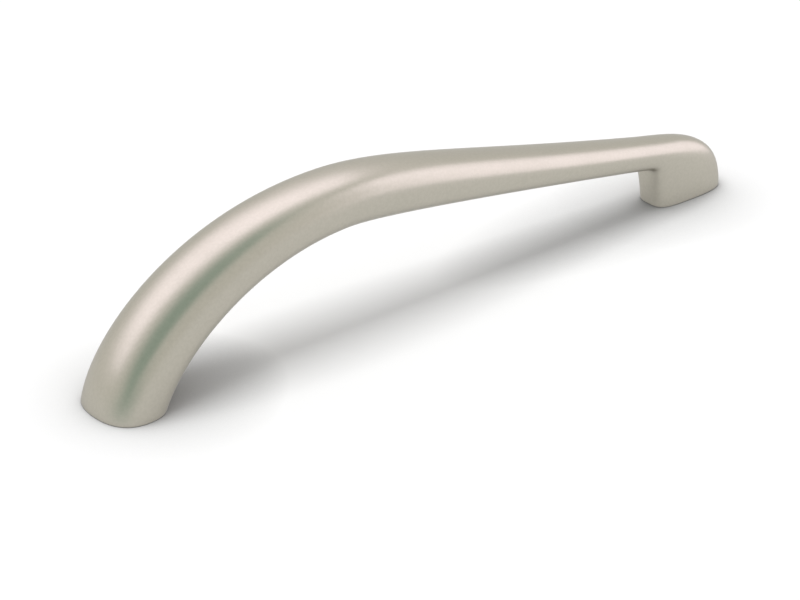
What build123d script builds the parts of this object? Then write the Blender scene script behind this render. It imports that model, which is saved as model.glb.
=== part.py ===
from build123d import *
from math import cos, radians, sin, tan
import os

# Cabinet handle: one die-cast bow. A thick leg sweeps up from the door into a high crown, and a
# tapering grip runs down from the crown to a low foot with a rounded end.
# The origin lies on the door, midway between the screw holes. X runs from the leg to the foot
# and Z points away from the door. Sizes are in millimetres and angles in degrees.
# A pull is how far a profile holds its direction at a point before it bends away.

# Screw holes
HOLE_SPACING = 128.0
THREAD_DIAMETER = 4.0
THREAD_DEPTH = 7.5
THREAD_CHAMFER = 0.4
DRILL_POINT_ANGLE = 118.0

# Leg, at the door. A reach is a distance along X from the nearest screw hole.
LEG_OUTER_REACH = 7.0
LEG_INNER_REACH = 5.4
LEG_WIDTH = 15.8
LEG_OUTER_LEAN = 10.5
LEG_INNER_LEAN = 26.0
LEG_OUTER_PULL = 12.5
LEG_INNER_PULL = 9.6

# Crown, the highest point of the bow
CROWN_REACH = 44.0
CROWN_HEIGHT = 29.6
CROWN_THICKNESS = 9.4
CROWN_OUTER_PULL_TO_LEG = 30.0
CROWN_INNER_PULL_TO_LEG = 20.5
CROWN_OUTER_PULL_TO_GRIP = 15.0
CROWN_INNER_PULL_TO_GRIP = 9.6

# Grip, where it reaches the foot
GRIP_SLOPE = 12.2
GRIP_THICKNESS = 5.6
GRIP_OUTER_PULL = 42.0
GRIP_INNER_PULL = 8.5

# Foot, from its front under the grip to its rounded end
FOOT_WIDTH = 7.9
FOOT_FRONT_REACH = 8.8
FOOT_END_REACH = 8.5
FOOT_FRONT_HEIGHT = 8.6
FOOT_FRONT_DRAFT = 8.0
FOOT_FILLET = 1.6
FOOT_END_PULL_ALONG = 9.5
FOOT_END_PULL_UP = 11.6

# Cross section: how far each quarter's curve is pulled towards its corner, from 0 to 1
OUTER_FULLNESS = 0.65
OUTER_FULLNESS_AT_FOOT = 0.755
INNER_FULLNESS_AT_LEG = 0.69
INNER_FULLNESS_AT_GRIP = 0.81
INNER_FULLNESS_AT_FOOT = 0.90
WIDTH_TAPER_POWER = 1.36
CIRCLE_FULLNESS = 0.5523

# Edge round the two faces that stand on the door
LEG_BASE_CHAMFER = 0.3
FOOT_BASE_CHAMFER = 0.5

# Cross sections along each stretch of the bow, and strips of skin in each quarter of a section
LEG_STATIONS = 7
GRIP_STATIONS = 6
FOOT_STATIONS = 8
STRIPS_PER_QUARTER = 4

ALONG = Vector(1, 0, 0)
ACROSS = Vector(0, 1, 0)
UP = Vector(0, 0, 1)


def heading(angle):
    """Direction in the XZ plane, turned up from X by the angle."""
    return ALONG * cos(radians(angle)) + UP * sin(radians(angle))


# Points of the profile in the XZ plane
leg_hole = ALONG * (-HOLE_SPACING / 2)
foot_hole = ALONG * (HOLE_SPACING / 2)
leg_outer = leg_hole - ALONG * LEG_OUTER_REACH
leg_inner = leg_hole + ALONG * LEG_INNER_REACH
crown_outer = leg_hole + ALONG * CROWN_REACH + UP * CROWN_HEIGHT
crown_inner = crown_outer - UP * CROWN_THICKNESS
foot_front = foot_hole - ALONG * FOOT_FRONT_REACH
foot_end = foot_hole + ALONG * FOOT_END_REACH
fillet_height = FOOT_FRONT_HEIGHT - FOOT_FILLET
front_direction = heading(90 + FOOT_FRONT_DRAFT)
fillet_foot = foot_front + front_direction * (fillet_height / cos(radians(FOOT_FRONT_DRAFT)))
fillet_grip = fillet_foot + (UP - ALONG) * FOOT_FILLET
grip_direction = heading(-GRIP_SLOPE)
grip_outer = fillet_grip + heading(90 - GRIP_SLOPE) * GRIP_THICKNESS

# Outer and inner profile of each stretch
leg_profiles = (
    Bezier(
        leg_outer,
        leg_outer + heading(90 - LEG_OUTER_LEAN) * LEG_OUTER_PULL,
        crown_outer - ALONG * CROWN_OUTER_PULL_TO_LEG,
        crown_outer,
    ),
    Bezier(
        leg_inner,
        leg_inner + heading(90 - LEG_INNER_LEAN) * LEG_INNER_PULL,
        crown_inner - ALONG * CROWN_INNER_PULL_TO_LEG,
        crown_inner,
    ),
)
grip_profiles = (
    Bezier(
        crown_outer,
        crown_outer + ALONG * CROWN_OUTER_PULL_TO_GRIP,
        grip_outer - grip_direction * GRIP_OUTER_PULL,
        grip_outer,
    ),
    Bezier(
        crown_inner,
        crown_inner + ALONG * CROWN_INNER_PULL_TO_GRIP,
        fillet_grip - grip_direction * GRIP_INNER_PULL,
        fillet_grip,
    ),
)
foot_fillet = Bezier(
    fillet_grip,
    fillet_grip + grip_direction * (CIRCLE_FULLNESS * FOOT_FILLET),
    fillet_foot + front_direction * (CIRCLE_FULLNESS * FOOT_FILLET),
    fillet_foot,
)
foot_profiles = (
    Bezier(
        grip_outer,
        grip_outer + grip_direction * FOOT_END_PULL_ALONG,
        foot_end + UP * FOOT_END_PULL_UP,
        foot_end,
    ),
    Wire([foot_fillet, Line(fillet_foot, foot_front)]),
)
stretches = [
    (leg_profiles, LEG_STATIONS),
    (grip_profiles, GRIP_STATIONS),
    (foot_profiles, FOOT_STATIONS),
]


def between(start, finish, share):
    """Point at a share of the way from start to finish."""
    return start + (finish - start) * share


def cubic_strip(points, first, last):
    """Stretch of the cubic curve with these four control points, between two shares of it."""

    def blend(*shares):
        row = points
        for share in shares:
            row = [between(start, finish, share) for start, finish in zip(row, row[1:])]
        return row[0]

    return Bezier(
        blend(first, first, first),
        blend(first, first, last),
        blend(first, last, last),
        blend(last, last, last),
    )


def quarter(middle, start, finish, fullness):
    """Strips of one quarter of a cross section, from middle + start to middle + finish."""
    points = [
        middle + start,
        middle + start + finish * fullness,
        middle + finish + start * fullness,
        middle + finish,
    ]
    shares = [strip / STRIPS_PER_QUARTER for strip in range(STRIPS_PER_QUARTER + 1)]
    return [cubic_strip(points, first, last) for first, last in zip(shares, shares[1:])]


def cross_section(outer_point, inner_point, taper, descent):
    """Closed rounded outline between the two profiles.

    Taper runs from 0 at the leg to 1 where the foot starts, and descent from 0 there to 1 at the door.
    """
    width = between(LEG_WIDTH, FOOT_WIDTH, taper**WIDTH_TAPER_POWER)
    outer_fullness = between(OUTER_FULLNESS, OUTER_FULLNESS_AT_FOOT, descent)
    bow_fullness = between(INNER_FULLNESS_AT_LEG, INNER_FULLNESS_AT_GRIP, taper)
    inner_fullness = between(bow_fullness, INNER_FULLNESS_AT_FOOT, descent)
    middle = between(inner_point, outer_point, 0.5)
    side = ACROSS * (width / 2)
    crest = outer_point - middle
    return Wire(
        quarter(middle, side, crest, outer_fullness)
        + quarter(middle, crest, -side, outer_fullness)
        + quarter(middle, -side, -crest, inner_fullness)
        + quarter(middle, -crest, side, inner_fullness)
    )


def bow():
    """Solid body through all cross sections. It tapers from the leg to the start of the foot."""
    taper_length = leg_profiles[0].length + grip_profiles[0].length
    foot_length = foot_profiles[0].length
    sections = [cross_section(leg_outer, leg_inner, 0.0, 0.0)]
    passed = 0.0
    for (outer, inner), stations in stretches:
        for station in range(1, stations + 1):
            share = station / stations
            travelled = passed + share * outer.length
            taper = min(1.0, travelled / taper_length)
            descent = max(0.0, (travelled - taper_length) / foot_length)
            sections.append(cross_section(outer @ share, inner @ share, taper, descent))
        passed += outer.length
    return Solid.make_loft(sections)


def chamfer_base(body, hole, size):
    """Body with a chamfer round the face that has this screw hole in it."""
    base_edges = body.edges().group_by(Axis.Z)[0]
    return chamfer(base_edges.filter_by(lambda edge: edge.center().X * hole.X > 0), size)


def tapped_hole():
    """Cutter for a blind screw hole, with a chamfered mouth and the cone that a drill leaves."""
    radius = THREAD_DIAMETER / 2
    cone_height = radius / tan(radians(DRILL_POINT_ANGLE / 2))
    half_outline = Polyline(
        (0, 0),
        (radius + THREAD_CHAMFER, 0),
        (radius, THREAD_CHAMFER),
        (radius, THREAD_DEPTH),
        (0, THREAD_DEPTH + cone_height),
        close=True,
    )
    return revolve(Plane.XZ * make_face(half_outline), Axis.Z)


body = bow()
body = chamfer_base(body, leg_hole, LEG_BASE_CHAMFER)
body = chamfer_base(body, foot_hole, FOOT_BASE_CHAMFER)
handle = body - [Pos(leg_hole) * tapped_hole(), Pos(foot_hole) * tapped_hole()]
handle.label = "handle"

os.makedirs("parts", exist_ok=True)
export_step(handle, "parts/handle.step")
print("handle", round(handle.volume), "cubic millimetres", handle.bounding_box().size)
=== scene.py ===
# %% [markdown]
# # A cabinet handle in satin nickel
# The real object is one zinc die-casting: a thick leg sweeps up from the door into a high crown,
# and a slim grip runs down from there to a low foot with a rounded end. It is plated in nickel
# and given a satin finish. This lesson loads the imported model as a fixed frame, sets up the
# camera and the studio, mixes the finish, and then models the skin of the handle over the frame,
# down to the threads in its two screw holes.

from math import atan2, cos, pi, radians, sin, tan

import bmesh
import bpy
import numpy as np
from mathutils import Matrix, Quaternion, Vector


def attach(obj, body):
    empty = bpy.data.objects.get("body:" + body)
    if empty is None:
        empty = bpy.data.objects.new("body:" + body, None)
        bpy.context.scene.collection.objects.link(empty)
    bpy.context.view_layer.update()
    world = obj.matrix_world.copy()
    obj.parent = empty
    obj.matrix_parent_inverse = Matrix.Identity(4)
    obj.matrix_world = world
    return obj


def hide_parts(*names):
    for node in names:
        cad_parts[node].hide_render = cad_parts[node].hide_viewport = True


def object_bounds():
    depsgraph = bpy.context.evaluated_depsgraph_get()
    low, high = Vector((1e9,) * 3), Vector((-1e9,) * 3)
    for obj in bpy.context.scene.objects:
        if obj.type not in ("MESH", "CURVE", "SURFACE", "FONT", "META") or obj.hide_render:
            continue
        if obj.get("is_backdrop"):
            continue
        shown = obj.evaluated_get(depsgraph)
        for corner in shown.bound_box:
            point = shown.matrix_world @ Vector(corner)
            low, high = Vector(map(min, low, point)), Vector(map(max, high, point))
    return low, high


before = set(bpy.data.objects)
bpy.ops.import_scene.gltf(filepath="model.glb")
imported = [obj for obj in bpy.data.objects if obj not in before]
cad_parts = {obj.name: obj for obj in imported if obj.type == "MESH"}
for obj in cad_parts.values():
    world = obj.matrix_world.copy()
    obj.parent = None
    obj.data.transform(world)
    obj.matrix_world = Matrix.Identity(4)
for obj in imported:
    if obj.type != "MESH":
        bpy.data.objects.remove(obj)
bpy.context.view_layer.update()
MM = 0.001
print("Nodes in the frame:", sorted(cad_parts))

# %% [markdown]
# ## Camera
# The picture is taken from the side of the leg, a little from above, with a long lens half a
# metre away. A camera could be turned by hand until the outlines agree. Here the two angles, the
# distance and the point in the middle of the picture are written down, and the camera's place
# follows from them, so each number can be changed on its own.

# %% Camera
CAMERA_YAW = radians(38.875)
CAMERA_PITCH = radians(28.404)
CAMERA_DISTANCE = 0.5
CAMERA_AIM = Vector((-7.221, -2.252, 1.305)) * MM
CAMERA_LENS = 126.75
SENSOR_WIDTH = 36.0
CLIP_START = 0.01

camera_look = Vector(
    (
        sin(CAMERA_YAW) * cos(CAMERA_PITCH),
        cos(CAMERA_YAW) * cos(CAMERA_PITCH),
        -sin(CAMERA_PITCH),
    )
)
bpy.ops.object.select_all(action="DESELECT")
bpy.ops.object.camera_add(
    location=CAMERA_AIM - camera_look * CAMERA_DISTANCE,
    rotation=(pi / 2 - CAMERA_PITCH, 0, -CAMERA_YAW),
)
camera = bpy.context.object
camera.name = "camera"
camera.data.sensor_fit = "HORIZONTAL"
camera.data.sensor_width = SENSOR_WIDTH
camera.data.lens = CAMERA_LENS
camera.data.clip_start = CLIP_START
bpy.context.scene.camera = camera
bpy.context.scene.view_settings.view_transform = "Standard"
print("Camera at", [round(value, 4) for value in camera.location])

# %% [markdown]
# ## Floor
# The handle stands on a plain white surface, and a wide plane is enough for it. Its material is a
# matt white. Close to the handle, Ambient Occlusion darkens it a little more, as a contact
# shadow. Part of what metal mirrors of the floor, and a trace of what the camera sees, is an even
# white that takes no shadow. Light Path tells the two kinds of ray apart.

# %% Floor
FLOOR_HALF_SIZE = 3.0
FLOOR_COLOUR = (0.94, 0.94, 0.94, 1.0)
CONTACT_REACH = 0.017
EVEN_SHARE_SEEN = 0.05
EVEN_SHARE_MIRRORED = 0.54

floor_white = bpy.data.materials.new("floor_white")
floor_white.use_nodes = True
floor_nodes = floor_white.node_tree.nodes
floor_links = floor_white.node_tree.links
floor_nodes.clear()
floor_output = floor_nodes.new("ShaderNodeOutputMaterial")
floor_blend = floor_nodes.new("ShaderNodeMixShader")
floor_matt = floor_nodes.new("ShaderNodeBsdfDiffuse")
floor_even = floor_nodes.new("ShaderNodeEmission")
floor_contact = floor_nodes.new("ShaderNodeAmbientOcclusion")
floor_ray = floor_nodes.new("ShaderNodeLightPath")
floor_seen = floor_nodes.new("ShaderNodeMath")
floor_share = floor_nodes.new("ShaderNodeMath")
floor_contact.inputs["Color"].default_value = FLOOR_COLOUR
floor_contact.inputs["Distance"].default_value = CONTACT_REACH
floor_seen.operation = "MULTIPLY"
floor_seen.inputs[1].default_value = EVEN_SHARE_SEEN
floor_share.operation = "MULTIPLY_ADD"
floor_share.inputs[1].default_value = EVEN_SHARE_MIRRORED
floor_links.new(floor_ray.outputs["Is Camera Ray"], floor_seen.inputs[0])
floor_links.new(floor_ray.outputs["Is Glossy Ray"], floor_share.inputs[0])
floor_links.new(floor_seen.outputs[0], floor_share.inputs[2])
floor_links.new(floor_share.outputs[0], floor_blend.inputs["Fac"])
floor_links.new(floor_contact.outputs["Color"], floor_matt.inputs["Color"])
floor_links.new(floor_matt.outputs[0], floor_blend.inputs[1])
floor_links.new(floor_even.outputs[0], floor_blend.inputs[2])
floor_links.new(floor_blend.outputs[0], floor_output.inputs["Surface"])

bpy.ops.object.select_all(action="DESELECT")
bpy.ops.mesh.primitive_plane_add(size=2 * FLOOR_HALF_SIZE, location=(0, 0, 0))
floor = bpy.context.object
floor.name = "floor"
floor.data.materials.append(floor_white)
floor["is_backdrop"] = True
print("Floor of", 2 * FLOOR_HALF_SIZE, "metres")

# %% [markdown]
# ## Studio light
# Satin metal shows its surroundings as soft bands. Two bright bands run along the handle: one
# from a wide softbox that hangs behind it, and one from a softbox that stands at the right. The
# rest mirrors a pale room with two darker stretches on the left of the camera: one lies low, and
# one rises to the ceiling. A world shader makes the room: a Mapping node turns and stretches a
# ball round each of them, and the distance from the middle of the ball tells how dark it is.
# Metal sees this room, the camera sees plain white, and matt surfaces get a lower, even light.

# %% Room
WHITE = (1.0, 1.0, 1.0, 1.0)
ROOM_COLOUR = (0.92, 0.917, 0.883, 1.0)
ROOM_DARK_COLOUR = (0.43, 0.565, 0.495, 1.0)
ROOM_DARK_CORE = 0.75
HIGH_AZIMUTH = radians(-146)
HIGH_ELEVATION = radians(54)
HIGH_AXIS = Vector((0.83, 0.11, 0.55))
HIGH_SIZE = (1.1, 0.48, 0.48)
LOW_AZIMUTH = radians(-152)
LOW_ELEVATION = 0.0
LOW_AXIS = Vector((-sin(LOW_AZIMUTH), cos(LOW_AZIMUTH), 0))
LOW_SIZE = (0.82, 0.8, 0.25)
FILL_LEVEL = 0.62
# The Mix node keeps its colour sockets at these places.
MIX_FIRST, MIX_SECOND, MIX_RESULT = 6, 7, 2


def direction(azimuth, elevation):
    """Unit vector at these two angles, seen from the handle."""
    level = cos(elevation)
    return Vector((level * cos(azimuth), level * sin(azimuth), sin(elevation)))


room = bpy.data.worlds.new("studio_room")
bpy.context.scene.world = room
room.use_nodes = True
room_nodes = room.node_tree.nodes
room_links = room.node_tree.links
room_nodes.clear()
room_output = room_nodes.new("ShaderNodeOutputWorld")
room_fill = room_nodes.new("ShaderNodeBackground")
room_mirrored = room_nodes.new("ShaderNodeBackground")
room_white = room_nodes.new("ShaderNodeBackground")
room_choice = room_nodes.new("ShaderNodeMixShader")
room_backdrop = room_nodes.new("ShaderNodeMixShader")
room_ray = room_nodes.new("ShaderNodeLightPath")
room_place = room_nodes.new("ShaderNodeTexCoord")
room_darker = room_nodes.new("ShaderNodeMath")
room_mix = room_nodes.new("ShaderNodeMix")


def add_dark_stretch(azimuth, elevation, axis, size):
    """Node that gives 1 in the middle of a stretch of the room and falls to 0 at its edge."""
    ball = room_nodes.new("ShaderNodeMapping")
    distance = room_nodes.new("ShaderNodeVectorMath")
    ramp = room_nodes.new("ShaderNodeMapRange")
    ball.vector_type = "TEXTURE"
    ball.inputs["Location"].default_value = direction(azimuth, elevation)
    ball.inputs["Rotation"].default_value = axis.to_track_quat("X", "Z").to_euler()
    ball.inputs["Scale"].default_value = size
    distance.operation = "LENGTH"
    ramp.interpolation_type = "SMOOTHSTEP"
    ramp.inputs["From Min"].default_value = 1.0
    ramp.inputs["From Max"].default_value = ROOM_DARK_CORE
    room_links.new(room_place.outputs["Generated"], ball.inputs["Vector"])
    room_links.new(ball.outputs["Vector"], distance.inputs[0])
    room_links.new(distance.outputs["Value"], ramp.inputs["Value"])
    return ramp


high_stretch = add_dark_stretch(HIGH_AZIMUTH, HIGH_ELEVATION, HIGH_AXIS, HIGH_SIZE)
low_stretch = add_dark_stretch(LOW_AZIMUTH, LOW_ELEVATION, LOW_AXIS, LOW_SIZE)
room_darker.operation = "MAXIMUM"
room_mix.data_type = "RGBA"
room_mix.inputs[MIX_FIRST].default_value = ROOM_COLOUR
room_mix.inputs[MIX_SECOND].default_value = ROOM_DARK_COLOUR
room_fill.inputs["Color"].default_value = WHITE
room_fill.inputs["Strength"].default_value = FILL_LEVEL
room_white.inputs["Color"].default_value = WHITE
room_links.new(high_stretch.outputs["Result"], room_darker.inputs[0])
room_links.new(low_stretch.outputs["Result"], room_darker.inputs[1])
room_links.new(room_darker.outputs[0], room_mix.inputs["Factor"])
room_links.new(room_mix.outputs[MIX_RESULT], room_mirrored.inputs["Color"])
room_links.new(room_ray.outputs["Is Glossy Ray"], room_choice.inputs["Fac"])
room_links.new(room_fill.outputs[0], room_choice.inputs[1])
room_links.new(room_mirrored.outputs[0], room_choice.inputs[2])
room_links.new(room_ray.outputs["Is Camera Ray"], room_backdrop.inputs["Fac"])
room_links.new(room_choice.outputs[0], room_backdrop.inputs[1])
room_links.new(room_white.outputs[0], room_backdrop.inputs[2])
room_links.new(room_backdrop.outputs[0], room_output.inputs["Surface"])
print("Room of", len(room_nodes), "nodes")

# %% [markdown]
# ## Softboxes
# Three area lamps are the softboxes. The lamp overhead gives the floor its light, so the shadow
# lies close under the bow, and metal does not mirror it. The other two are only there to be
# mirrored. A lamp's power grows with its size, so each is given by the level of its front, where
# 1 is white paper.

# %% Softboxes
STRAIGHT_DOWN = (0, 0, 0)
TURNED_DOWN = (0, 0, radians(-18))
TOP_PLACE = (-0.11, 0.20, 1.8)
TOP_SIZE = (1.73, 1.04)
TOP_LEVEL = 3.5
BACK_PLACE = (-0.40, 0.61, 0.6)
BACK_SIZE = (1.86, 0.58)
BACK_LEVEL = 1.29
SIDE_AZIMUTH = radians(-20)
SIDE_ELEVATION = radians(17)
SIDE_DISTANCE = 0.8
SIDE_LEAN = radians(-28)
SIDE_SIZE = (0.76, 0.95)
SIDE_LEVEL = 1.14
MIRRORED_COLOUR = (0.94, 0.83, 1.0)


def add_softbox(name, place, rotation, size, level):
    """Rectangular lamp. Its level is the brightness of its front."""
    bpy.ops.object.select_all(action="DESELECT")
    bpy.ops.object.light_add(type="AREA", location=place, rotation=rotation)
    lamp = bpy.context.object
    lamp.name = name
    lamp.data.shape = "RECTANGLE"
    lamp.data.size, lamp.data.size_y = size
    lamp.data.energy = level * pi * size[0] * size[1]
    lamp.visible_camera = False
    print(name, "gives", round(lamp.data.energy, 2), "watts")
    return lamp


to_side = direction(SIDE_AZIMUTH, SIDE_ELEVATION)
side_place = to_side * SIDE_DISTANCE
side_turn = to_side.to_track_quat("Z", "Y") @ Quaternion((0, 0, 1), SIDE_LEAN)
side_rotation = side_turn.to_euler()
top_softbox = add_softbox("top_softbox", TOP_PLACE, STRAIGHT_DOWN, TOP_SIZE, TOP_LEVEL)
back_softbox = add_softbox("back_softbox", BACK_PLACE, TURNED_DOWN, BACK_SIZE, BACK_LEVEL)
side_softbox = add_softbox("side_softbox", side_place, side_rotation, SIDE_SIZE, SIDE_LEVEL)
top_softbox.visible_glossy = False
for mirrored in (back_softbox, side_softbox):
    mirrored.data.color = MIRRORED_COLOUR
    mirrored.visible_diffuse = False

# %% [markdown]
# ## Satin nickel
# The plating is a warm grey metal. It has been matted, so it mirrors softly: close up it is a
# fine, even grain with no brush lines. A brushed metal would need stretched grain. Here one fine
# noise feeds a shallow bump and mottles the colour a little, and a slower one varies the
# roughness, as hands and polishing leave it. The numbers that are the same all over are set on
# the shader itself.

# %% Satin nickel
EDGE_TINT = (0.8, 0.8, 0.8, 1.0)
NICKEL_LIGHT = (0.485, 0.460, 0.396, 1.0)
NICKEL_DEEP = (0.459, 0.436, 0.373, 1.0)
TINT_RANGE = (0.35, 0.65)
CLOUD_SCALE = 160.0
CLOUD_RANGE = (0.3, 0.7)
ROUGHNESS_RANGE = (0.32, 0.36)
GRAIN_SCALE = 2000.0
GRAIN_DETAIL = 3.0
GRAIN_STRENGTH = 0.3
GRAIN_DEPTH = 0.02 * MM


def new_nickel(name):
    """Metal material with its shader and object coordinates, ready for a grain."""
    material = bpy.data.materials.new(name)
    material.use_nodes = True
    nodes = material.node_tree.nodes
    shader = nodes["Principled BSDF"]
    shader.inputs["Metallic"].default_value = 1.0
    shader.inputs["Specular Tint"].default_value = EDGE_TINT
    place = nodes.new("ShaderNodeTexCoord")
    return material, nodes, material.node_tree.links, shader, place


def add_noise(nodes, scale, detail):
    """Noise node of this fineness."""
    noise = nodes.new("ShaderNodeTexNoise")
    noise.inputs["Scale"].default_value = scale
    noise.inputs["Detail"].default_value = detail
    return noise


def add_tint(nodes, span, deep, light):
    """Ramp between two colours over this span of a noise."""
    ramp = nodes.new("ShaderNodeValToRGB")
    for element, position, colour in zip(ramp.color_ramp.elements, span, (deep, light)):
        element.position = position
        element.color = colour
    return ramp


def add_relief(nodes, strength, depth):
    """Bump node of this strength and depth."""
    bump = nodes.new("ShaderNodeBump")
    bump.inputs["Strength"].default_value = strength
    bump.inputs["Distance"].default_value = depth
    return bump


satin_nickel, nodes, links, shader, place = new_nickel("satin_nickel")
cloud = add_noise(nodes, CLOUD_SCALE, GRAIN_DETAIL)
grain = add_noise(nodes, GRAIN_SCALE, GRAIN_DETAIL)
tint = add_tint(nodes, TINT_RANGE, NICKEL_DEEP, NICKEL_LIGHT)
relief = add_relief(nodes, GRAIN_STRENGTH, GRAIN_DEPTH)
sheen = nodes.new("ShaderNodeMapRange")
sheen.inputs["From Min"].default_value, sheen.inputs["From Max"].default_value = CLOUD_RANGE
sheen.inputs["To Min"].default_value, sheen.inputs["To Max"].default_value = ROUGHNESS_RANGE
links.new(place.outputs["Object"], cloud.inputs["Vector"])
links.new(place.outputs["Object"], grain.inputs["Vector"])
links.new(grain.outputs["Fac"], tint.inputs["Fac"])
links.new(tint.outputs["Color"], shader.inputs["Base Color"])
links.new(cloud.outputs["Fac"], sheen.inputs["Value"])
links.new(sheen.outputs["Result"], shader.inputs["Roughness"])
links.new(grain.outputs["Fac"], relief.inputs["Height"])
links.new(relief.outputs["Normal"], shader.inputs["Normal"])
print("Satin nickel has", len(nodes), "nodes")

# %% [markdown]
# ## Ground nickel
# The two faces that stand on the door are ground flat before plating, which leaves fine straight
# lines across them, and the screw holes are cut. These faces are a little darker and rougher than
# the polished skin. Straight lines come from a noise that is stretched along one direction.

# %% Ground nickel
GROUND_LIGHT = (0.40, 0.385, 0.345, 1.0)
GROUND_DEEP = (0.30, 0.29, 0.26, 1.0)
GROUND_RANGE = (0.3, 0.7)
GROUND_ROUGHNESS = 0.42
LINE_TURN = (0, 0, radians(35))
LINE_STRETCH = (0.04, 1.0, 1.0)
LINE_SCALE = 6000.0
LINE_DETAIL = 2.0
LINE_STRENGTH = 0.2
LINE_DEPTH = 0.03 * MM

ground_nickel, nodes, links, shader, place = new_nickel("ground_nickel")
shader.inputs["Roughness"].default_value = GROUND_ROUGHNESS
turned = nodes.new("ShaderNodeMapping")
turned.inputs["Rotation"].default_value = LINE_TURN
turned.inputs["Scale"].default_value = LINE_STRETCH
lines = add_noise(nodes, LINE_SCALE, LINE_DETAIL)
tint = add_tint(nodes, GROUND_RANGE, GROUND_DEEP, GROUND_LIGHT)
relief = add_relief(nodes, LINE_STRENGTH, LINE_DEPTH)
links.new(place.outputs["Object"], turned.inputs["Vector"])
links.new(turned.outputs["Vector"], lines.inputs["Vector"])
links.new(lines.outputs["Fac"], tint.inputs["Fac"])
links.new(tint.outputs["Color"], shader.inputs["Base Color"])
links.new(lines.outputs["Fac"], relief.inputs["Height"])
links.new(relief.outputs["Normal"], shader.inputs["Normal"])
print("Ground nickel has", len(nodes), "nodes")

# %% [markdown]
# ## Profiles
# Seen from the side, the handle lies between two curves: an outer one over its back and an inner
# one under it. Each has three stretches, for the leg, the grip and the foot, and each stretch is
# one smooth curve that leaves its ends in a known direction. A pull says how far it holds that
# direction.

# %% Profiles
HOLE_X = 64.0
LEG_OUTER_REACH = 7.0
LEG_INNER_REACH = 5.4
LEG_OUTER_LEAN = 10.5
LEG_INNER_LEAN = 26.0
LEG_OUTER_PULL = 12.5
LEG_INNER_PULL = 9.6
CROWN_REACH = 44.0
CROWN_HEIGHT = 29.6
CROWN_THICKNESS = 9.4
CROWN_OUTER_PULL_TO_LEG = 30.0
CROWN_INNER_PULL_TO_LEG = 20.5
CROWN_OUTER_PULL_TO_GRIP = 15.0
CROWN_INNER_PULL_TO_GRIP = 9.6
GRIP_SLOPE = 12.2
GRIP_THICKNESS = 5.6
GRIP_OUTER_PULL = 42.0
GRIP_INNER_PULL = 8.5
FOOT_FRONT_REACH = 8.8
FOOT_END_REACH = 8.5
FOOT_FRONT_HEIGHT = 8.6
FOOT_DRAFT = 8.0
FOOT_FILLET = 1.6
FOOT_END_PULL_ALONG = 9.5
FOOT_END_PULL_UP = 11.6
CIRCLE_FULLNESS = 0.5523
CURVE_STEPS = 400


def heading(angle):
    """Direction in the side view, turned up from X by the angle in degrees."""
    return np.array((cos(radians(angle)), sin(radians(angle))))


def cubic(start, lead, trail, end, share):
    """Points of a cubic curve at these shares of it."""
    back = 1.0 - share
    from_start = start * back**3 + 3 * lead * share * back**2
    return from_start + 3 * trail * share**2 * back + end * share**3


def curve(start, start_pull, end_pull, end):
    """Smooth curve. Each pull is the way from an end to where that end draws the curve."""
    shares = np.linspace(0.0, 1.0, CURVE_STEPS)[:, None]
    return cubic(start, start + start_pull, end + end_pull, end, shares)


leg_outer = np.array((-HOLE_X - LEG_OUTER_REACH, 0.0))
leg_inner = np.array((-HOLE_X + LEG_INNER_REACH, 0.0))
crown_outer = np.array((-HOLE_X + CROWN_REACH, CROWN_HEIGHT))
crown_inner = crown_outer - heading(90) * CROWN_THICKNESS
foot_front = np.array((HOLE_X - FOOT_FRONT_REACH, 0.0))
foot_end = np.array((HOLE_X + FOOT_END_REACH, 0.0))
up_front = heading(90 + FOOT_DRAFT)
front_length = (FOOT_FRONT_HEIGHT - FOOT_FILLET) / cos(radians(FOOT_DRAFT))
fillet_low = foot_front + up_front * front_length
fillet_high = fillet_low + np.array((-FOOT_FILLET, FOOT_FILLET))
fillet_pull = CIRCLE_FULLNESS * FOOT_FILLET
down_grip = heading(-GRIP_SLOPE)
grip_outer = fillet_high + heading(90 - GRIP_SLOPE) * GRIP_THICKNESS

leg_curves = (
    curve(
        leg_outer,
        heading(90 - LEG_OUTER_LEAN) * LEG_OUTER_PULL,
        heading(180) * CROWN_OUTER_PULL_TO_LEG,
        crown_outer,
    ),
    curve(
        leg_inner,
        heading(90 - LEG_INNER_LEAN) * LEG_INNER_PULL,
        heading(180) * CROWN_INNER_PULL_TO_LEG,
        crown_inner,
    ),
)
grip_curves = (
    curve(
        crown_outer,
        heading(0) * CROWN_OUTER_PULL_TO_GRIP,
        down_grip * -GRIP_OUTER_PULL,
        grip_outer,
    ),
    curve(
        crown_inner,
        heading(0) * CROWN_INNER_PULL_TO_GRIP,
        down_grip * -GRIP_INNER_PULL,
        fillet_high,
    ),
)
foot_fillet = curve(fillet_high, down_grip * fillet_pull, up_front * fillet_pull, fillet_low)
foot_curves = (
    curve(grip_outer, down_grip * FOOT_END_PULL_ALONG, heading(90) * FOOT_END_PULL_UP, foot_end),
    np.vstack((foot_fillet, foot_front[None, :])),
)
print("Crown at", crown_outer, "and foot end at", foot_end, "millimetres")

# %% [markdown]
# ## Cross sections
# Rings between the two curves carry the skin. On the leg and the grip they stand across the bow,
# and round the inner corner of the foot they fan out. Every ring is four quarter curves: rounder
# over the back, fuller underneath, and narrower from the leg towards the foot. Down the foot the
# corners fill out further, which gives its front an edge.

# %% Cross sections
QUARTER_POINTS = 24
RING_POINTS = 4 * QUARTER_POINTS
LEG_RINGS = 60
GRIP_RINGS = 72
FOOT_RINGS = 32
LEG_HALF_WIDTH = 7.9
FOOT_HALF_WIDTH = 3.95
WIDTH_TAPER_POWER = 1.36
BACK_FULLNESS = 0.65
BACK_FULLNESS_FOOT = 0.755
UNDERSIDE_FULLNESS_LEG = 0.69
UNDERSIDE_FULLNESS_GRIP = 0.81
UNDERSIDE_FULLNESS_FOOT = 0.90


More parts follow.
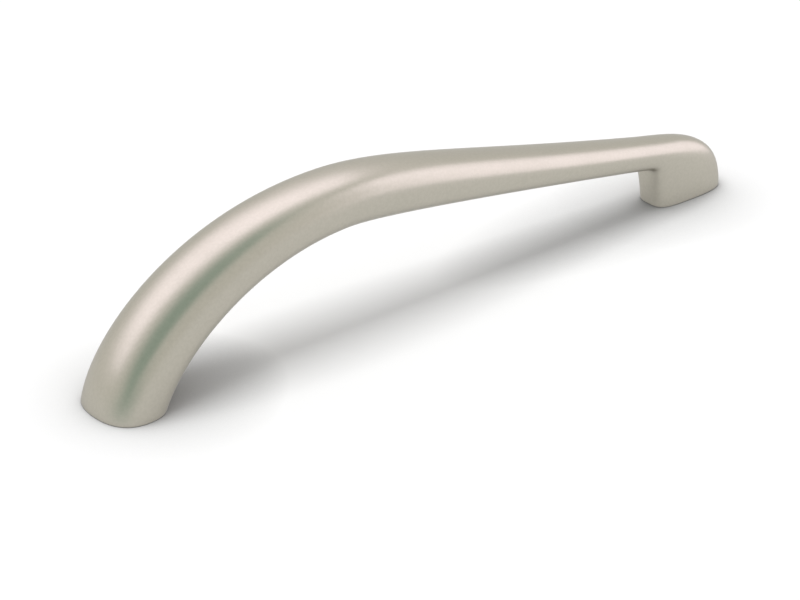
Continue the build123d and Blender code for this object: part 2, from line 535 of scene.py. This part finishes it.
def line_length(points):
    """Length of a line of points, summed up to each point."""
    steps = np.linalg.norm(np.diff(points, axis=0), axis=1)
    return np.concatenate(((0.0,), np.cumsum(steps)))


def points_along(points, shares):
    """Points at these shares of a line's length."""
    passed = line_length(points)
    wanted = shares * passed[-1]
    return np.stack([np.interp(wanted, passed, column) for column in points.T], 1)


def quarter(start, finish, fullness, shares):
    """Points of one quarter of a ring, from start to finish, for all rings at once."""
    return cubic(start, start + finish * fullness, finish + start * fullness, finish, shares)


stretches = ((leg_curves, LEG_RINGS), (grip_curves, GRIP_RINGS), (foot_curves, FOOT_RINGS))
outer_points = [leg_outer[None, :]]
inner_points = [leg_inner[None, :]]
tapers = [np.zeros(1)]
descents = [np.zeros(1)]
taper_length = line_length(leg_curves[0])[-1] + line_length(grip_curves[0])[-1]
passed_length = 0.0
for (outer, inner), count in stretches:
    shares = np.arange(1, count + 1) / count
    outer_length = line_length(outer)[-1]
    outer_points.append(points_along(outer, shares))
    inner_points.append(points_along(inner, shares))
    travelled = passed_length + shares * outer_length
    tapers.append(np.minimum(1.0, travelled / taper_length))
    descents.append(np.maximum(0.0, (travelled - taper_length) / outer_length))
    passed_length += outer_length
outer_points = np.vstack(outer_points)
inner_points = np.vstack(inner_points)
taper = np.concatenate(tapers)[:, None, None]
descent = np.concatenate(descents)[:, None, None]


def between(start, finish, share):
    """Value at a share of the way from start to finish."""
    return start + (finish - start) * share


half_width = between(LEG_HALF_WIDTH, FOOT_HALF_WIDTH, taper**WIDTH_TAPER_POWER)
back = between(BACK_FULLNESS, BACK_FULLNESS_FOOT, descent)
underside = between(UNDERSIDE_FULLNESS_LEG, UNDERSIDE_FULLNESS_GRIP, taper)
underside = between(underside, UNDERSIDE_FULLNESS_FOOT, descent)
centre = np.insert((outer_points + inner_points) / 2, 1, 0.0, axis=1)[:, None, :]
crest = np.insert((outer_points - inner_points) / 2, 1, 0.0, axis=1)[:, None, :]
side = np.array((0.0, 1.0, 0.0)) * half_width
steps = (np.arange(QUARTER_POINTS) / QUARTER_POINTS)[None, :, None]
rings = centre + np.concatenate(
    (
        quarter(side, crest, back, steps),
        quarter(crest, -side, back, steps),
        quarter(-side, -crest, underside, steps),
        quarter(-crest, side, underside, steps),
    ),
    axis=1,
)
rings = rings * MM
print("Rings and points on each:", rings.shape[:2])

# %% [markdown]
# ## Skin
# A handle like this could be carved from a box or drawn as a thick curve, but its section changes
# all the way along. So it starts as a straight tube, the way a smith starts from a bar. The tube
# is cut into rings by subdividing its long edges, and then every ring is moved to its cross
# section.

# %% Skin
RING_TOTAL = LEG_RINGS + GRIP_RINGS + FOOT_RINGS
FIRST_CUTS = 4
LEVEL_EDGE = 0.5
SAME_PLACE = 0.001 * MM

bpy.ops.object.select_all(action="DESELECT")
bpy.ops.mesh.primitive_cylinder_add(
    vertices=RING_POINTS,
    radius=1.0,
    depth=RING_TOTAL,
    end_fill_type="NOTHING",
    location=(0, 0, RING_TOTAL / 2),
)
skin = bpy.context.object
skin.name = "handle_skin"
bpy.ops.object.transform_apply(location=True, rotation=True, scale=True)


def select_edges(wanted):
    """In edit mode, selects only the edges whose two ends pass the test."""
    bpy.ops.mesh.select_mode(type="EDGE")
    bpy.ops.mesh.select_all(action="DESELECT")
    edit_mesh = bmesh.from_edit_mesh(bpy.context.object.data)
    for edge in edit_mesh.edges:
        first, second = edge.verts
        edge.select_set(wanted(first.co, second.co))
    edit_mesh.select_flush_mode()
    bmesh.update_edit_mesh(bpy.context.object.data)
    return sum(edge.select for edge in edit_mesh.edges)


def runs_along(first, second):
    """Whether an edge of the straight tube runs along it."""
    return abs(first.z - second.z) > LEVEL_EDGE


bpy.ops.object.mode_set(mode="EDIT")
select_edges(runs_along)
bpy.ops.mesh.subdivide(number_cuts=FIRST_CUTS - 1)
select_edges(runs_along)
bpy.ops.mesh.subdivide(number_cuts=RING_TOTAL // FIRST_CUTS - 1)
bpy.ops.object.mode_set(mode="OBJECT")

for vertex in skin.data.vertices:
    ring = round(vertex.co.z)
    point = round(atan2(vertex.co.y, vertex.co.x) / (2 * pi) * RING_POINTS) % RING_POINTS
    vertex.co = rings[ring, point]
print("Skin of", len(skin.data.polygons), "faces")

# %% [markdown]
# ## Bases and screw holes
# Each end stands on the door with a flat face, and a screw comes through the door into a tapped
# hole in its middle. A circle is added where the hole's mouth is and bridged to the open end of
# the skin. Extruding the circle then gives the chamfer, the straight bore and the cone that a
# drill leaves.

# %% Bases and screw holes
BORE_RADIUS = 2.0 * MM
BORE_DEPTH = 7.5 * MM
MOUTH_CHAMFER = 0.4 * MM
DRILL_POINT = radians(118)
LEG_BASE_ROUND = 0.3 * MM
FOOT_BASE_ROUND = 0.4 * MM
BASE_ROUND_STEPS = 4
ROUND_PROFILE = 0.5
MOUTH_RADIUS = BORE_RADIUS + MOUTH_CHAMFER
CONE_HEIGHT = BORE_RADIUS / tan(DRILL_POINT / 2)


def close_base(hole_x, edge_round):
    """Closes one end of the skin at z = 0 with a flat face that has a blind screw hole in it."""
    hole = Vector((hole_x, 0, 0))

    def near(first, second):
        same_end = (first.x * hole_x > 0) and (second.x * hole_x > 0)
        return same_end and abs(first.z) < SAME_PLACE and abs(second.z) < SAME_PLACE

    bpy.ops.mesh.primitive_circle_add(
        vertices=RING_POINTS, radius=MOUTH_RADIUS, fill_type="NOTHING", location=hole
    )
    select_edges(near)
    bpy.ops.mesh.bridge_edge_loops()

    def mouth(first, second):
        return near(first, second) and all(
            abs((end - hole).length - MOUTH_RADIUS) < SAME_PLACE for end in (first, second)
        )

    select_edges(mouth)
    for rise, scale in (
        (MOUTH_CHAMFER, BORE_RADIUS / MOUTH_RADIUS),
        (BORE_DEPTH - MOUTH_CHAMFER, 1.0),
        (CONE_HEIGHT, 0.0),
    ):
        bpy.ops.mesh.extrude_edges_move(TRANSFORM_OT_translate={"value": (0, 0, rise)})
        bpy.ops.transform.resize(value=(scale, scale, 1.0), center_override=hole)
    bpy.ops.mesh.select_mode(type="VERT")
    bpy.ops.mesh.remove_doubles(threshold=SAME_PLACE)

    def outline(first, second):
        return near(first, second) and all(
            (end - hole).length > MOUTH_RADIUS + SAME_PLACE for end in (first, second)
        )

    edge_count = select_edges(outline)
    bpy.ops.mesh.bevel(
        offset=edge_round,
        segments=BASE_ROUND_STEPS,
        profile=ROUND_PROFILE,
        affect="EDGES",
        clamp_overlap=False,
    )
    print("Base at", hole_x, "has", edge_count, "edges round it")


bpy.ops.object.mode_set(mode="EDIT")
bpy.ops.mesh.select_mode(type="VERT")
close_base(-HOLE_X * MM, LEG_BASE_ROUND)
close_base(HOLE_X * MM, FOOT_BASE_ROUND)
bpy.ops.mesh.select_all(action="SELECT")
bpy.ops.mesh.normals_make_consistent(inside=False)
bpy.ops.object.mode_set(mode="OBJECT")
print("Closed skin of", len(skin.data.polygons), "faces")

# %% [markdown]
# ## Finish on the skin
# The skin is shaded smooth, and edges that turn sharply stay crisp. Faces that look straight down
# at the door, and the faces of the holes, get the ground finish, and all the others are satin.

# %% Finish on the skin
CRISP_ANGLE = radians(28)
FLAT_NORMAL_Z = -0.999
SATIN, GROUND = 0, 1

bpy.ops.object.select_all(action="DESELECT")
skin.select_set(True)
bpy.context.view_layer.objects.active = skin
bpy.ops.object.shade_smooth_by_angle(angle=CRISP_ANGLE)
skin.data.materials.append(satin_nickel)
skin.data.materials.append(ground_nickel)


def in_hole(point):
    """Whether a point lies inside the mouth of a screw hole."""
    reach = (Vector((abs(point.x), point.y)) - Vector((HOLE_X * MM, 0))).length
    return reach < MOUTH_RADIUS and point.z < BORE_DEPTH + CONE_HEIGHT


for face in skin.data.polygons:
    flat_down = face.normal.z < FLAT_NORMAL_Z and abs(face.center.z) < SAME_PLACE
    face.material_index = GROUND if flat_down or in_hole(face.center) else SATIN
print("Ground faces:", sum(face.material_index == GROUND for face in skin.data.polygons))

# %% [markdown]
# ## Threads
# Each hole has an M4 thread, a ridge that winds round the bore with 0.7 mm between its turns. Its
# section is a narrow trapezium. The Screw modifier winds that section up the bore, and the open
# ends of the ridge are then filled. The countersunk mouth cuts the first turn down, so points
# that would stand in its cone are moved out to it.

# %% Threads
THREAD_PITCH = 0.7 * MM
THREAD_HEIGHT = 0.379 * MM
THREAD_ROOT_HALF = 0.30 * MM
THREAD_CREST_HALF = 0.0875 * MM
THREAD_BURIED = 0.03 * MM
THREAD_START = 0.80 * MM
THREAD_TURNS = 9
STEPS_PER_TURN = 48


def add_thread(name, hole_x):
    """Ridge of an internal screw thread in the hole at this X."""
    bpy.ops.object.select_all(action="DESELECT")
    bpy.ops.mesh.primitive_plane_add(size=1.0, location=(0, 0, 0), rotation=(pi / 2, 0, 0))
    thread = bpy.context.object
    thread.name = name
    bpy.ops.object.transform_apply(location=True, rotation=True, scale=True)
    for vertex in thread.data.vertices:
        crest_side = vertex.co.x < 0
        half = THREAD_CREST_HALF if crest_side else THREAD_ROOT_HALF
        radius = BORE_RADIUS - THREAD_HEIGHT if crest_side else BORE_RADIUS + THREAD_BURIED
        vertex.co = (radius, 0, THREAD_START + (half if vertex.co.z > 0 else -half))
    bpy.ops.object.mode_set(mode="EDIT")
    bpy.ops.mesh.select_all(action="SELECT")
    bpy.ops.mesh.delete(type="ONLY_FACE")
    bpy.ops.object.mode_set(mode="OBJECT")
    winding = thread.modifiers.new("winding", "SCREW")
    winding.axis = "Z"
    winding.angle = 2 * pi
    winding.screw_offset = THREAD_PITCH
    winding.iterations = THREAD_TURNS
    winding.steps = STEPS_PER_TURN
    winding.render_steps = STEPS_PER_TURN
    winding.use_merge_vertices = False
    bpy.ops.object.modifier_apply(modifier=winding.name)
    for vertex in thread.data.vertices:
        radius = (vertex.co.x**2 + vertex.co.y**2) ** 0.5
        wider = max(radius, MOUTH_RADIUS - vertex.co.z) / radius
        vertex.co = (vertex.co.x * wider, vertex.co.y * wider, vertex.co.z)
    bpy.ops.object.mode_set(mode="EDIT")
    bpy.ops.mesh.select_all(action="DESELECT")
    bpy.ops.mesh.select_mode(type="EDGE")
    bpy.ops.mesh.select_non_manifold()
    bpy.ops.mesh.edge_face_add()
    bpy.ops.mesh.select_all(action="SELECT")
    bpy.ops.mesh.normals_make_consistent(inside=False)
    bpy.ops.object.mode_set(mode="OBJECT")
    thread.data.transform(Matrix.Translation((hole_x, 0, 0)))
    bpy.ops.object.shade_smooth_by_angle(angle=CRISP_ANGLE)
    thread.data.materials.append(ground_nickel)
    print(name, "has", len(thread.data.polygons), "faces")
    return thread


leg_thread = add_thread("leg_thread", -HOLE_X * MM)
foot_thread = add_thread("foot_thread", HOLE_X * MM)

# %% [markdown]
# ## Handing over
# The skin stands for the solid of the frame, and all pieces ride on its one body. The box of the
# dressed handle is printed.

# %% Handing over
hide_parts("handle")
for piece in (skin, leg_thread, foot_thread):
    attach(piece, "root")

visual_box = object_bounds()
rounded_box = [[round(value, 4) for value in corner] for corner in visual_box]
print("Box of the dressed handle:", rounded_box)
